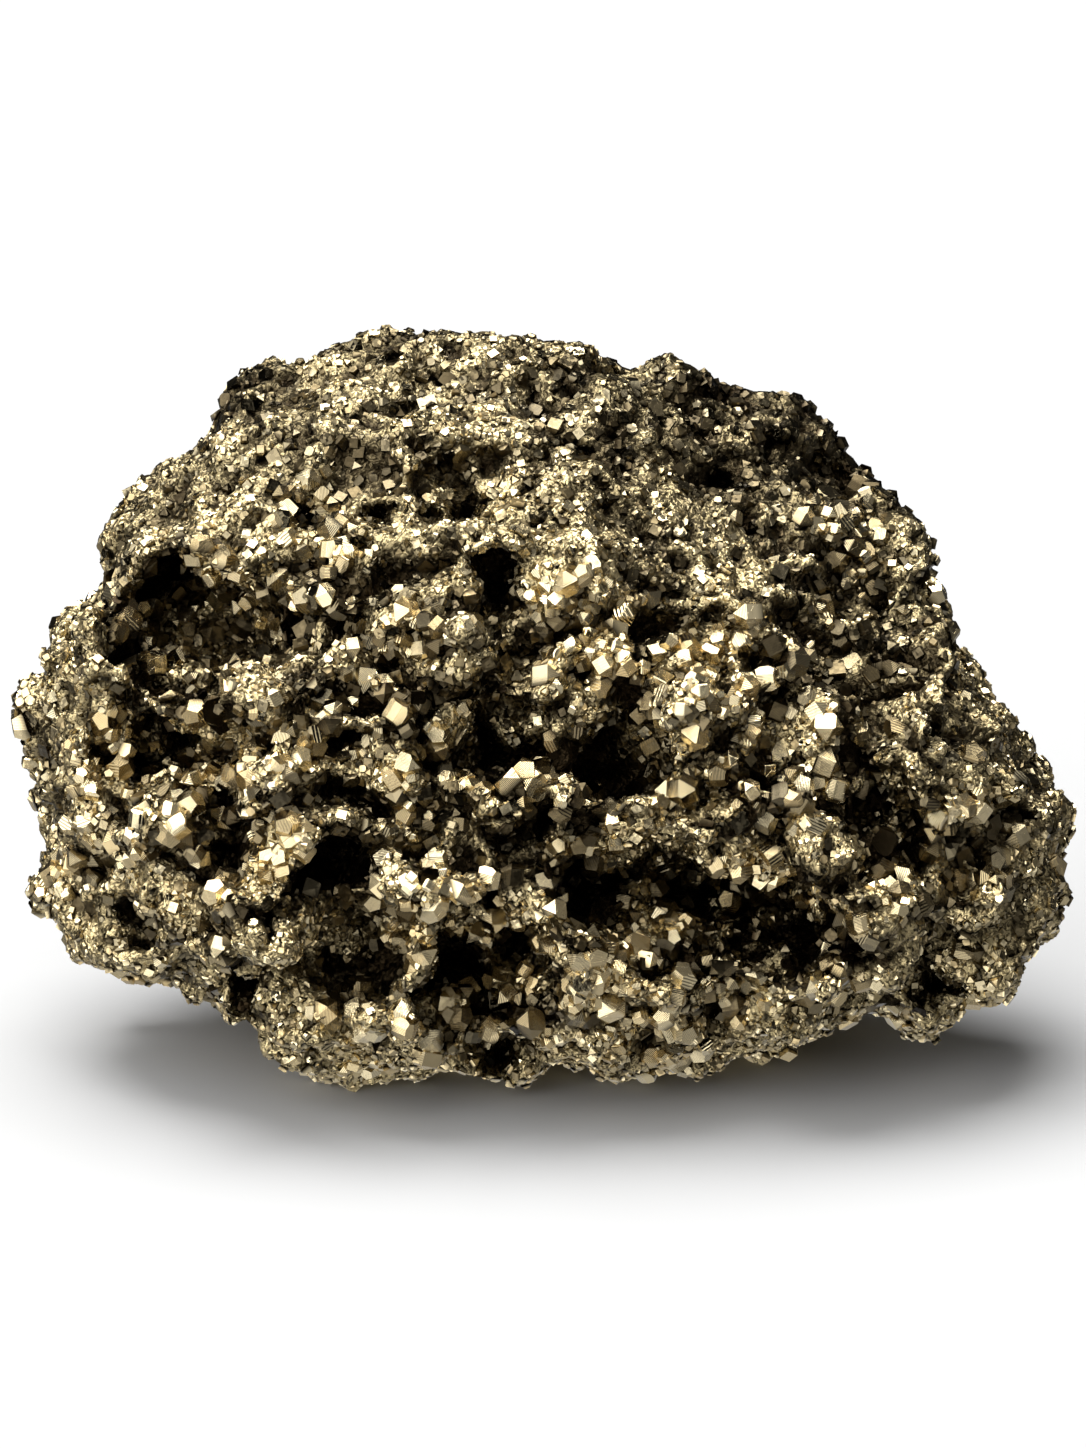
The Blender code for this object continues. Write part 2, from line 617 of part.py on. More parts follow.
def build():
    clear_scene()
    chance = random.Random(SEED)
    lump = make_lump()
    tree = skin_of(lump)
    combine(lump, hollow_cutters(tree, chance), "DIFFERENCE")
    combine(lump, knob_balls(skin_of(lump)), "UNION")
    thin_out(lump, MASS_TRIANGLES)
    combine(lump, crystals_on(lump, chance), "UNION")
    cut_level(lump)
    drop_crumbs(lump)
    centre_on_origin(lump)
    lump.name = "pyrite_cluster"
    lump.data.materials.clear()
    lump.data.materials.append(pyrite_material())


build()
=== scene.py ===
import math
import random

import bpy
import numpy as np
from mathutils import Matrix, Vector, noise
from mathutils.bvhtree import BVHTree
from mathutils.kdtree import KDTree


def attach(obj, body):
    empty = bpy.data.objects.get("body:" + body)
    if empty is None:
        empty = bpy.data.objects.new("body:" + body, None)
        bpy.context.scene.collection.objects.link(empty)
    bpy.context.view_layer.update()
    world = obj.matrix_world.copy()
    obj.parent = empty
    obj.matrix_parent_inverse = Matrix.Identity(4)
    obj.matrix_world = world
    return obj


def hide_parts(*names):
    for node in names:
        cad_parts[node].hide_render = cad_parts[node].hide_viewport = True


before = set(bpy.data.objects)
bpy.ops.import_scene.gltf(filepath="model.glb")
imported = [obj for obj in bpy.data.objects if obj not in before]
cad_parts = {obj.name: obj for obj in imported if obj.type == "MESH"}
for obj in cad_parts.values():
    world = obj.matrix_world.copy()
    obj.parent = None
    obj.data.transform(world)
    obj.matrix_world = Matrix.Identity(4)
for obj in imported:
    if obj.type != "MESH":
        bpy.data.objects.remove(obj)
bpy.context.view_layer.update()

# The mass of the lump: massive pyrite that grew together with the crystals and carries them all. It
# shows in the chinks between them, on the dull patches and on the underside, as a darker and rougher
# metal. Its form is the solid's, evened out and then roughened into small knobs, clefts and pits.
MM = 0.001
TILT = math.radians(18.0)
FACE_UP = Vector((0.0, math.sin(TILT), math.cos(TILT)))
FACE_OUT = Vector((0.0, -math.cos(TILT), math.sin(TILT)))
MIDDLE = Vector((-0.76, -0.62, 34.7)) * MM
MASS_VOXEL = 0.72
ROUGH_VOXEL = 1.0
CRUST_DEPTH = 0.55
CLOSED_GAP = 1.9
EASING_ROUNDS = 9
SLOPE_MIDDLE = (11.0, 15.5)
SLOPE_HALF_SIZE = (14.0, 5.0)


def as_seen(point):
    """Right, up and out from the middle of the front, in millimetres."""
    away = (point - MIDDLE) / MM
    return away.x, away.dot(FACE_UP), away.dot(FACE_OUT)


def ease(low, high, value):
    """0 at the low end, 1 at the high end, smooth between them, whichever of the two is the greater."""
    share = max(0.0, min(1.0, (value - low) / (high - low)))
    return share * share * (3.0 - 2.0 * share)


def fineness(right, up, out):
    """1 on the finely grained top and rims, 0 where the crystals are coarse."""
    top = ease(13.0, 20.0, up)
    rim = ease(38.0, 48.0, abs(right))
    foot = ease(-29.0, -34.0, up)
    from_slope = math.hypot(
        (right - SLOPE_MIDDLE[0]) / SLOPE_HALF_SIZE[0],
        (up - SLOPE_MIDDLE[1]) / SLOPE_HALF_SIZE[1],
    )
    slope = ease(1.1, 0.7, from_slope) * ease(-5.0, 0.0, out)
    return max(top, 0.8 * rim, 0.6 * foot, slope)


# The pits of the front where the photograph is black: right, up, half length, half width, lean. 48 of the
# places, with most of their leans and sizes, are as a program that measured the photograph's dark areas
# printed them. The other 30 were placed one by one.
PITS = [
    (7.7, -16.3, 4.2, 2.4, 0), (15.7, -16.5, 5.4, 3.6, -10), (22.2, -19.5, 4.6, 2.9, -30),
    (28.7, -21.5, 6.2, 1.6, -20), (19.7, -22.5, 2.2, 2.2, 0), (-5.3, -20.5, 3.6, 1.9, -60),
    (-2.3, -23.5, 3.8, 2.3, -60), (-9.3, -26.0, 5.2, 1.6, 5), (-5.6, -28.0, 2.6, 1.3, 0),
    (-34.4, 13.0, 3.8, 2.0, 20), (-37.4, 8.0, 2.6, 1.2, -10), (-28.8, 7.0, 1.6, 1.4, 0),
    (-4.3, -3.0, 5.8, 1.9, 5), (-6.3, -5.0, 2.8, 1.1, 0), (33.2, -5.0, 3.2, 1.5, -45),
    (36.7, -12.0, 4.2, 1.7, -75), (25.7, -4.5, 2.6, 1.0, 0), (-36.3, -3.0, 4.2, 2.3, -20),
    (-40.3, -0.2, 2.0, 0.9, 0), (-19.8, -3.5, 2.3, 1.7, 0), (-17.5, -7.0, 2.9, 1.5, -30),
    (-30.9, -13.7, 3.5, 2.1, -28), (1.4, -10.7, 3.0, 1.8, 31), (7.5, -5.1, 1.9, 1.3, 90),
    (-31.8, -8.0, 1.8, 1.6, 90), (-27.3, -7.0, 2.3, 0.8, -15), (-39.4, -19.2, 3.3, 1.4, -17),
    (-7.5, 21.3, 2.6, 1.0, 10), (-16.4, 21.1, 2.6, 1.3, 10), (-22.6, 19.9, 2.5, 1.3, -45),
    (-19.4, -14.6, 3.1, 1.3, 13), (-19.2, -25.2, 1.7, 1.2, 33), (-4.6, -33.6, 3.6, 1.1, 0),
    (-29.8, -27.7, 3.6, 1.0, -9), (-24.2, -19.6, 3.8, 1.1, 39), (-20.1, 2.9, 2.7, 1.5, 56),
    (-3.6, 12.8, 2.1, 1.4, -60), (39.7, -27.6, 2.6, 1.5, -24), (18.2, 24.4, 1.7, 1.3, 24),
    (21.5, 5.6, 2.3, 1.0, -25), (9.5, 5.6, 1.6, 1.3, 78), (24.6, -4.3, 1.5, 1.2, 14),
    (4.3, 27.9, 1.7, 1.0, -36), (24.6, 27.9, 2.1, 0.8, 19), (32.6, -15.6, 2.3, 0.9, -9),
    (-6.1, 2.3, 1.4, 1.0, 0), (47.6, -9.2, 2.2, 0.8, 0), (16.9, 10.3, 1.3, 1.1, 90),
    (35.0, 13.1, 2.0, 0.8, -14), (-0.8, 32.8, 1.3, 0.9, 90), (29.2, 6.5, 1.9, 0.8, 90),
    (0.2, -15.0, 2.0, 0.7, -7), (30.2, -27.1, 2.2, 0.6, 44), (27.9, 13.7, 1.3, 1.1, 90),
    (3.4, 4.7, 1.2, 0.9, -16), (-11.8, 0.7, 1.1, 0.9, 0), (-20.6, 10.0, 1.4, 0.8, 26),
    (11.1, -29.4, 1.2, 0.8, 90), (12.2, -24.6, 2.1, 0.6, 35), (-14.1, -13.4, 1.6, 0.6, 8),
    (-39.7, -12.9, 1.2, 0.7, 11), (20.3, 27.9, 1.5, 0.6, -33), (42.1, -8.8, 1.3, 0.7, 85),
    (-3.8, -8.9, 0.9, 0.8, 0), (-9.2, -32.7, 1.1, 0.7, 7), (19.4, -29.5, 1.1, 0.7, -16),
    (-17.0, 5.5, 1.4, 0.6, 50), (12.0, 26.4, 1.0, 0.6, 56), (20.6, 20.2, 1.4, 0.5, -52),
    (-7.7, 23.8, 1.2, 0.6, 66), (30.1, 17.5, 1.3, 0.6, -38), (-27.7, 30.2, 1.0, 0.8, 0),
    (-15.8, 37.0, 1.3, 0.8, 20), (-16.8, 31.0, 0.9, 0.7, 0), (-26.8, 26.0, 1.2, 0.7, 30),
    (-10.8, 32.5, 1.0, 0.6, 0), (2.0, 19.5, 0.9, 0.6, 90), (-11.5, 13.5, 0.9, 0.7, 0),
]
PIT_CELL = 8.0
PIT_RIM = -0.08
PIT_FLOOR = 0.6
DEEPEST_PIT = 6.0
pit_cells = {}
for right, up, length, width, lean in PITS:
    turn = math.radians(lean)
    length, width = length + PIT_RIM, width + PIT_RIM
    entry = (right, up, math.cos(turn), math.sin(turn), length, width)
    for column in range(int((right - length) // PIT_CELL), int((right + length) // PIT_CELL) + 1):
        for row in range(int((up - length) // PIT_CELL), int((up + length) // PIT_CELL) + 1):
            pit_cells.setdefault((column, row), []).append(entry)


def pit_depth(right, up):
    """How far the nearest pit goes in at a place of the front, in millimetres, and how much painted shade it
    gets, 0 to 1.
    """
    deep, pit_shade = 0.0, 0.0
    for x, y, cos, sin, length, width in pit_cells.get((right // PIT_CELL, up // PIT_CELL), ()):
        along = ((right - x) * cos + (up - y) * sin) / length
        across = ((up - y) * cos - (right - x) * sin) / width
        inside = 1.0 - ease(PIT_FLOOR, 1.0, math.hypot(along, across))
        deep = max(deep, inside * min(DEEPEST_PIT, 1.2 + 2.2 * width))
        pit_shade = max(pit_shade, inside)
    return deep, pit_shade


def outline_shift(right, up):
    """How far the skin moves to the right at a place of the front, in millimetres, to meet the outline."""
    left_side = ease(-10.0, -30.0, right)
    upper_right = ease(10.0, 30.0, right) * ease(-14.0, -4.0, up) * ease(36.0, 28.0, up)
    lower_right = ease(20.0, 40.0, right) * ease(-12.0, -18.0, up)
    return 0.7 * lower_right - 1.1 * left_side - 1.4 * upper_right


LUMP, KNOB, BUD, SMALL_PIT, TOP_PIT = 8.5, 3.9, 1.9, 2.9, 2.5


def bent(place, amount, scale):
    """The place moved by noise, so that nothing drawn from it runs straight."""
    return place + amount * Vector((
        noise.noise(place / scale),
        noise.noise(place / scale + Vector((31.0, 7.0, 3.0))),
        noise.noise(place / scale + Vector((5.0, 53.0, 11.0))),
    ))


def dome(place):
    """1 on the top of rounded lumps that stand side by side, 0 in the creases between them."""
    return 1.0 - min(1.0, noise.voronoi(place)[0][0] / 0.8) ** 2


def relief(point):
    """How far the mass stands out or in at a point, in millimetres, its painted shade as a factor, near 1 on
    the tops of the lumps and lower in the creases and pits, and how much a knob stands there, 0 to 1."""
    place = point / MM
    right, up, out = as_seen(point)
    fine = fineness(right, up, out)
    behind = ease(4.0, -6.0, out)
    wavy = bent(place, 1.4, 3.0)
    lumps = dome(Vector((wavy.x * 0.85, wavy.y, wavy.z * 1.05)) / LUMP)
    knobs = dome(wavy / KNOB)
    buds = dome(wavy / BUD)
    pits = ease(0.16, 0.42, noise.noise(place / SMALL_PIT + Vector((9.0, 2.0, 4.0)))) * (1.0 - 0.7 * fine)
    near, seeds = noise.voronoi(wavy / TOP_PIT)
    if noise.noise(seeds[0] * 7.3) > 0.0:
        pits = max(pits, fine * ease(0.46, 0.28, near[0]))
    height = (
        (5.4 - 4.2 * fine) * (lumps - 0.75)
        + (2.7 - 1.5 * fine) * (knobs - 0.65)
        + 0.7 * (buds - 0.6)
        - (1.2 + 1.0 * behind) * pits
        - CRUST_DEPTH
    )
    # Painted shade: lighter on the tops of the lumps, knobs and buds, darker in the creases between them and
    # in the small pits.
    crease_shade = 0.28 + 0.22 * fine + (0.72 - 0.22 * fine) * lumps
    crease_shade *= (0.25 + 0.75 * knobs) * (0.5 + 0.5 * buds) * (1.0 - 0.92 * pits)
    return height, crease_shade, knobs


bpy.ops.object.select_all(action="DESELECT")
mass = bpy.data.objects.new("crystal_mass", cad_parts["pyrite_cluster"].data.copy())
bpy.context.scene.collection.objects.link(mass)
bpy.context.view_layer.objects.active = mass
mass.select_set(True)
bpy.ops.object.mode_set(mode="EDIT")
bpy.ops.mesh.select_all(action="SELECT")
bpy.ops.mesh.remove_doubles(threshold=1e-6)
bpy.ops.object.mode_set(mode="OBJECT")
remesh = mass.modifiers.new("even_skin", "REMESH")
remesh.mode = "VOXEL"
remesh.voxel_size = MASS_VOXEL * MM
bpy.ops.object.modifier_apply(modifier=remesh.name)
# The small hollows of the solid are closed and its crystals eased away: both are made anew below.
for gap, voxel in ((CLOSED_GAP, ROUGH_VOXEL), (-CLOSED_GAP, MASS_VOXEL)):
    swell = mass.modifiers.new("grown", "DISPLACE")
    swell.mid_level = 0.0
    swell.strength = gap * MM
    bpy.ops.object.modifier_apply(modifier=swell.name)
    remesh = mass.modifiers.new("even_skin", "REMESH")
    remesh.mode = "VOXEL"
    remesh.voxel_size = voxel * MM
    bpy.ops.object.modifier_apply(modifier=remesh.name)
smooth = mass.modifiers.new("eased", "SMOOTH")
smooth.factor = 0.5
smooth.iterations = EASING_ROUNDS
bpy.ops.object.modifier_apply(modifier=smooth.name)
mass.data.update()


def tree_of(mesh):
    return BVHTree.FromPolygons([v.co for v in mesh.vertices], [tuple(p.vertices) for p in mesh.polygons])


plain_tree = tree_of(mass.data)
FARTHEST = 20.0
THINNEST_SHARE = 0.35
STALK = 2.6
FOOT_ROUNDS = 40
# Knobs at the rim, where the photograph's outline stands further out: right, up, radius, height.
RIM_KNOBS = [
    (-28.0, 33.0, 5.5, 2.0), (-44.0, -24.0, 6.5, 2.0), (17.0, 38.0, 9.0, 1.0), (27.0, 35.0, 6.0, 0.8),
    (51.0, -9.0, 6.5, 1.7), (40.0, 13.0, 6.0, 0.9), (-50.0, -9.0, 5.0, 1.0), (50.0, -18.0, 4.5, 0.7),
]


def room_inwards(place, direction):
    """How far the skin may sink at a place without coming out on the other side, in millimetres."""
    distance = plain_tree.ray_cast(place + direction * 0.05 * MM, direction, FARTHEST * MM)[3]
    return FARTHEST if distance is None else THINNEST_SHARE * distance / MM


moved, shade = [], []
for vert in mass.data.vertices:
    right, up, out = as_seen(bent(bent(vert.co / MM, 1.7, 2.6), 0.7, 1.1) * MM)
    deep, pit_shade = pit_depth(right, up)
    facing = ease(0.0, 0.35, vert.normal.dot(FACE_OUT))
    height, crease_shade, knobs = relief(vert.co)
    for knob_right, knob_up, radius, rise in RIM_KNOBS:
        height += rise * ease(radius, 0.2 * radius, math.hypot(right - knob_right, up - knob_up))
    across = Vector((outline_shift(right, up), 0.0, 0.0))
    height = max(height, -room_inwards(vert.co, -vert.normal))
    if deep > 0.0:
        deep = min(deep * (1.15 - 0.65 * knobs), room_inwards(vert.co, -FACE_OUT))
    moved.append(vert.co + (vert.normal * height - FACE_OUT * facing * deep + across) * MM)
    # Painted shade: darker in the creases and pits, and in the pits the more the skin faces the front.
    shade.append(crease_shade * (1.0 - 0.5 * facing * pit_shade))
# Thin stalks that are left between the pits are drawn back to their foot.
points = np.array([tuple(place) for place in moved])
outwards = np.array([tuple(vert.normal) for vert in mass.data.vertices])
ends = np.zeros(len(mass.data.edges) * 2, np.int32)
mass.data.edges.foreach_get("vertices", ends)
one, other = ends[0::2], ends[1::2]
degree = np.bincount(ends, minlength=len(points))[:, None]
foot = points
for _ in range(FOOT_ROUNDS):
    foot = np.stack([
        np.bincount(one, foot[other, axis], len(points)) + np.bincount(other, foot[one, axis], len(points))
        for axis in range(3)
    ], axis=1) / degree
stand = np.linalg.norm(points - foot, axis=1) / MM
outside = np.einsum("ij,ij->i", points - foot, outwards) > 0.0
shortened = (STALK + 0.2 * (stand - STALK)) / np.maximum(stand, STALK)
kept_share = np.where((stand > STALK) & outside, shortened, 1.0)
points = foot + (points - foot) * kept_share[:, None]
upward_before = [vert.normal.z for vert in mass.data.vertices]
for vert, place in zip(mass.data.vertices, points):
    vert.co = Vector((place[0], place[1], max(0.0, place[2])))
mass.data.update()
mass.data.shade_smooth()
# Painted shade: the undersides of the knobs, which look down more than the skin did before, are darkened, and
# so is the top, which the lamps light most, the more so towards its right.
for vert in mass.data.vertices:
    right, up, out = as_seen(vert.co)
    underside_shade = 0.76 - 0.42 * fineness(right, up, out)
    shade[vert.index] *= 1.0 - underside_shade * ease(0.15, -0.55, vert.normal.z - upward_before[vert.index])
    shade[vert.index] *= 1.0 - (0.4 + 0.36 * ease(0.0, 25.0, right)) * ease(12.0, 24.0, up)

# How open each part of the skin is: the share of directions over it in which nothing is near.
REACH = 7.0
LOOKS = 11
GOLDEN_ANGLE = 2.39996
CLEARANCE = 0.25


def openness_of(mesh):
    """The openness at each corner of a mesh, and the tree of its faces."""
    tree = tree_of(mesh)
    turns = [(math.sqrt((i + 0.5) / LOOKS), GOLDEN_ANGLE * i) for i in range(LOOKS)]
    spread = [(s * math.cos(a), s * math.sin(a), math.sqrt(1.0 - s * s)) for s, a in turns]
    found = np.ones(len(mesh.vertices))
    for vert in mesh.vertices:
        normal = vert.normal
        side = normal.orthogonal().normalized()
        other = normal.cross(side)
        start = vert.co + normal * CLEARANCE * MM
        total = 0.0
        for x, y, z in spread:
            distance = tree.ray_cast(start, side * x + other * y + normal * z, REACH * MM)[3]
            total += 1.0 if distance is None else distance / (REACH * MM)
        found[vert.index] = total / LOOKS
    return found, tree


mass_openness, mass_tree = openness_of(mass.data)
# The openness is multiplied by the painted shade, and the materials paint shade with it: their base colours
# go towards near black where it is low.
mass_openness *= np.array(shade)
attribute = mass.data.attributes.new("openness", "FLOAT", "POINT")
attribute.data.foreach_set("value", mass_openness.astype(np.float32))


class Wire:
    """A shader socket that can be used in sums, and the way to any other node."""

    def __init__(self, tree, socket=None):
        self.tree = tree
        self.socket = socket

    def node(self, kind, settings=None, inputs=None, output=0):
        made = self.tree.nodes.new(kind)
        for name, value in (settings or {}).items():
            setattr(made, name, value)
        for name, value in (inputs or {}).items():
            if isinstance(value, Wire):
                self.tree.links.new(value.socket, made.inputs[name])
            else:
                made.inputs[name].default_value = value
        return Wire(self.tree, made.outputs[output])

    def sum(self, operation, first, second):
        return self.node("ShaderNodeMath", {"operation": operation}, {0: first, 1: second})

    def __add__(self, other):
        return self.sum("ADD", self, other)

    __radd__ = __add__

    def __mul__(self, other):
        return self.sum("MULTIPLY", self, other)

    __rmul__ = __mul__

    def other(self, output):
        """Another output of the same node."""
        return Wire(self.tree, self.socket.node.outputs[output])

    def vector(self, operation, other, output="Vector"):
        return self.node("ShaderNodeVectorMath", {"operation": operation}, {0: self, 1: other}, output)

    def ease(self, low, high):
        """0 below the low value, 1 above the high one, smooth between them."""
        values = {"Value": self, "From Min": low, "From Max": high}
        return self.node("ShaderNodeMapRange", {"interpolation_type": "SMOOTHSTEP"}, values)

    def mix(self, first, second):
        """Between two colours, by this value."""
        settings = {"data_type": "RGBA", "clamp_factor": True}
        return self.node("ShaderNodeMix", settings, {0: self, 6: first, 7: second}, 2)


def new_metal(name):
    """A material, the wires of its tree, and its shader."""
    material = bpy.data.materials.new(name)
    material.use_nodes = True
    shader = material.node_tree.nodes["Principled BSDF"]
    shader.inputs["Metallic"].default_value = 1.0
    return material, Wire(material.node_tree), shader


def small_facets(position, scale, steepness):
    """The height of facets that each lean their own way."""
    cells = {"Vector": position, "Scale": scale}
    cell = position.node("ShaderNodeTexVoronoi", inputs=cells, output="Position")
    lean = cell.other("Color").vector("SUBTRACT", (0.5, 0.5, 0.5))
    return position.vector("SUBTRACT", cell).vector("DOT_PRODUCT", lean, "Value") * steepness


def attribute_of(wires, name, output="Fac"):
    """A value that the mesh carries."""
    return wires.node("ShaderNodeAttribute", {"attribute_name": name}, output=output)


def raise_bumps(wires, shader, height, distance=1.0):
    bumps = wires.node("ShaderNodeBump", inputs={"Strength": 1.0, "Distance": distance, "Height": height})
    wires.tree.links.new(bumps.socket, shader.inputs["Normal"])


# The near-black brown that the materials mix in to paint shade.
PAINTED_SHADE_BROWN = (0.012, 0.008, 0.004, 1.0)
MASS_BRASS = (0.52, 0.42, 0.225, 1.0)
BRASS = (0.69, 0.59, 0.375, 1.0)
WARM_BRASS = (0.5, 0.385, 0.2, 1.0)

mass_metal, wires, shader = new_metal("massive_pyrite")
openness = attribute_of(wires, "openness")
position = wires.node("ShaderNodeTexCoord", output="Object")
curled = {"Vector": position, "Scale": 1500.0, "Detail": 2.0, "Distortion": 1.6}
curls = wires.node("ShaderNodeTexNoise", inputs=curled)
# Painted shade: the base colour goes dark where the openness is low, in hollows and chinks; the curls are the
# mass's own pattern.
lit = openness.ease(0.0, 0.4) * (0.2 + 0.8 * curls.ease(0.42, 0.52))
wires.tree.links.new(lit.mix(PAINTED_SHADE_BROWN, MASS_BRASS).socket, shader.inputs["Base Color"])
shader.inputs["Roughness"].default_value = 0.36
raise_bumps(wires, shader, small_facets(position, 2800.0, 0.8) + curls * 0.00022)
mass.data.materials.clear()
mass.data.materials.append(mass_metal)
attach(mass, "root")
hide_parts("pyrite_cluster")

# The habits of the crystals. Pyrite grows as cubes, pyritohedra and octahedra and as blends of them, so
# each habit is a block cut down by the planes of those forms, at distances that differ a little from
# face to face as in nature, turned at random, and cut off level where it grows out of the mass.
chance = random.Random(7)
CUBE = [(1, 0, 0), (-1, 0, 0), (0, 1, 0), (0, -1, 0), (0, 0, 1), (0, 0, -1)]
OCTAHEDRON = [(a, b, c) for a in (-1, 1) for b in (-1, 1) for c in (-1, 1)]
PYRITOHEDRON = [(0, a, 2 * b) for a in (-1, 1) for b in (-1, 1)]
PYRITOHEDRON += [(2 * b, 0, a) for a in (-1, 1) for b in (-1, 1)]
PYRITOHEDRON += [(a, 2 * b, 0) for a in (-1, 1) for b in (-1, 1)]
HABITS = {
    "cube": ((CUBE, 0.9, 0.08),),
    "cut_cube": ((CUBE, 0.86, 0.1), (OCTAHEDRON, 1.04, 0.12)),
    "cuboctahedron": ((CUBE, 0.9, 0.06), (OCTAHEDRON, 1.0, 0.08)),
    "pyritohedron": ((PYRITOHEDRON, 0.92, 0.05),),
    "blend": ((CUBE, 0.88, 0.05), (PYRITOHEDRON, 0.94, 0.05)),
    "octahedral": ((OCTAHEDRON, 0.86, 0.05), (CUBE, 1.1, 0.15)),
}


def grow_crystal(habit, turn, foot):
    """One crystal about a unit in radius: its corners, its triangles, its corners before it was turned
    and how high each corner stands, from 0 at the foot to 1 at the tip."""
    bpy.ops.object.select_all(action="DESELECT")
    bpy.ops.mesh.primitive_cube_add(size=4.0)
    crystal = bpy.context.object
    bpy.ops.object.mode_set(mode="EDIT")
    planes = [(Vector((0, 0, -1)), -foot)]
    for normals, distance, jitter in HABITS[habit]:
        for normal in normals:
            away = distance * (1 + chance.uniform(-jitter, jitter))
            planes.append((turn @ Vector(normal).normalized(), away))
    for normal, distance in planes:
        bpy.ops.mesh.select_all(action="SELECT")
        bpy.ops.mesh.bisect(plane_co=normal * distance, plane_no=normal, use_fill=True, clear_outer=True)
    bpy.ops.mesh.select_all(action="SELECT")
    bpy.ops.mesh.remove_doubles(threshold=0.02)
    bpy.ops.mesh.normals_make_consistent(inside=False)
    bpy.ops.mesh.quads_convert_to_tris()
    bpy.ops.object.mode_set(mode="OBJECT")
    corners = np.array([vert.co for vert in crystal.data.vertices])
    triangles = np.array([tuple(face.vertices) for face in crystal.data.polygons])
    bpy.data.objects.remove(crystal)
    plain = corners @ np.array(turn)
    corners[:, 2] -= foot
    return corners, triangles, plain, corners[:, 2] / corners[:, 2].max()


def tilted(up, degrees):
    """The turn that brings a direction of the crystal upright, then off by some degrees."""
    upright = Vector(up).rotation_difference(Vector((0, 0, 1))).to_matrix()
    axis = Vector((chance.gauss(0, 1), chance.gauss(0, 1), 0)).normalized()
    return Matrix.Rotation(math.radians(chance.gauss(0, degrees)), 3, axis) @ upright


FACE, EDGE, CORNER = (0, 0, 1), (0, 1, 1), (1, 1, 1)
# What points outwards on each kind, and how high over its middle a grain is cut off.
FINE_KINDS = [
    ("cube", CORNER, 0.72), ("cut_cube", CORNER, 0.5), ("cube", FACE, 0.1), ("cut_cube", FACE, 0.3),
    ("octahedral", FACE, 0.35), ("cuboctahedron", CORNER, 0.3), ("cuboctahedron", FACE, 0.3),
    ("pyritohedron", EDGE, 0.4), ("cut_cube", FACE, 0.4), ("cut_cube", CORNER, 0.6),
] * 3
COARSE_KINDS = [
    ("cut_cube", FACE), ("pyritohedron", EDGE), ("blend", CORNER), ("cuboctahedron", CORNER),
    ("cuboctahedron", FACE), ("cut_cube", CORNER), ("blend", EDGE), ("pyritohedron", FACE),
] * 3
FINE_TILT, COARSE_TILT, COARSE_FOOT = 12, 25, -0.2
fine_crystals = [grow_crystal(habit, tilted(up, FINE_TILT), foot) for habit, up, foot in FINE_KINDS]
coarse_crystals = [grow_crystal(habit, tilted(up, COARSE_TILT), COARSE_FOOT) for habit, up in COARSE_KINDS]

# Where the crystals grow: points strewn over the mass, the largest crystals first and the fine grains
# in what room they leave. Each point has a place, a direction, an openness and a size.
rng = np.random.default_rng(11)


class Skin:
    """The mass's skin as arrays, to strew points over."""

    def __init__(self, mesh, openness):
        mesh.calc_loop_triangles()
        count = len(mesh.loop_triangles)
        corners = np.empty(count * 3, np.int32)
        mesh.loop_triangles.foreach_get("vertices", corners)
        self.corners = corners.reshape(-1, 3)
        places = np.empty(len(mesh.vertices) * 3)
        mesh.vertices.foreach_get("co", places)
        self.places = places.reshape(-1, 3)
        normals = np.empty(len(mesh.vertices) * 3)
        mesh.vertices.foreach_get("normal", normals)
        self.normals = normals.reshape(-1, 3)
        self.openness = openness
        a, b, c = (self.places[self.corners[:, i]] for i in range(3))
        areas = np.linalg.norm(np.cross(b - a, c - a), axis=1)
        self.cumulative = np.cumsum(areas) / areas.sum()

    def strew(self, count):
        """Points spread evenly over the skin: their places, their directions and their openness."""
        faces = self.corners[np.searchsorted(self.cumulative, rng.random(count))]
        s, t = rng.random(count), rng.random(count)
        over = s + t > 1.0
        s[over], t[over] = 1.0 - s[over], 1.0 - t[over]
        shares = np.stack([1.0 - s - t, s, t], axis=1)
        places = np.einsum("ij,ijk->ik", shares, self.places[faces])
        normals = np.einsum("ij,ijk->ik", shares, self.normals[faces])
        normals /= np.linalg.norm(normals, axis=1, keepdims=True)
        return places, normals, np.einsum("ij,ij->i", shares, self.openness[faces])


def seen_arrays(places):
    away = (places - np.array(MIDDLE)) / MM
    return away[:, 0], away @ np.array(FACE_UP), away @ np.array(FACE_OUT)


def ease_array(low, high, values):
    share = np.clip((values - low) / (high - low), 0.0, 1.0)
    return share * share * (3.0 - 2.0 * share)


def noise_at(places, scale, shift=(0.0, 0.0, 0.0)):
    return np.array([noise.noise(Vector(p) / MM / scale + Vector(shift)) for p in places])


def keep_apart(places, spacing, kept_before):
    """The candidates that stay when each keeps the next ones off by its own spacing."""
    tree = KDTree(len(places))
    for index, place in enumerate(places):
        tree.insert(place, index)
    tree.balance()
    free = np.ones(len(places), bool)
    for place, radius in kept_before:
        for _, index, _ in tree.find_range(place, radius):
            free[index] = False
    kept = []
    for index in range(len(places)):
        if free[index]:
            kept.append(index)
            for _, other, _ in tree.find_range(places[index], spacing[index] * MM):
                free[other] = False
    return np.array(kept)


skin = Skin(mass.data, mass_openness)
TINT_SHIFT = 40.0


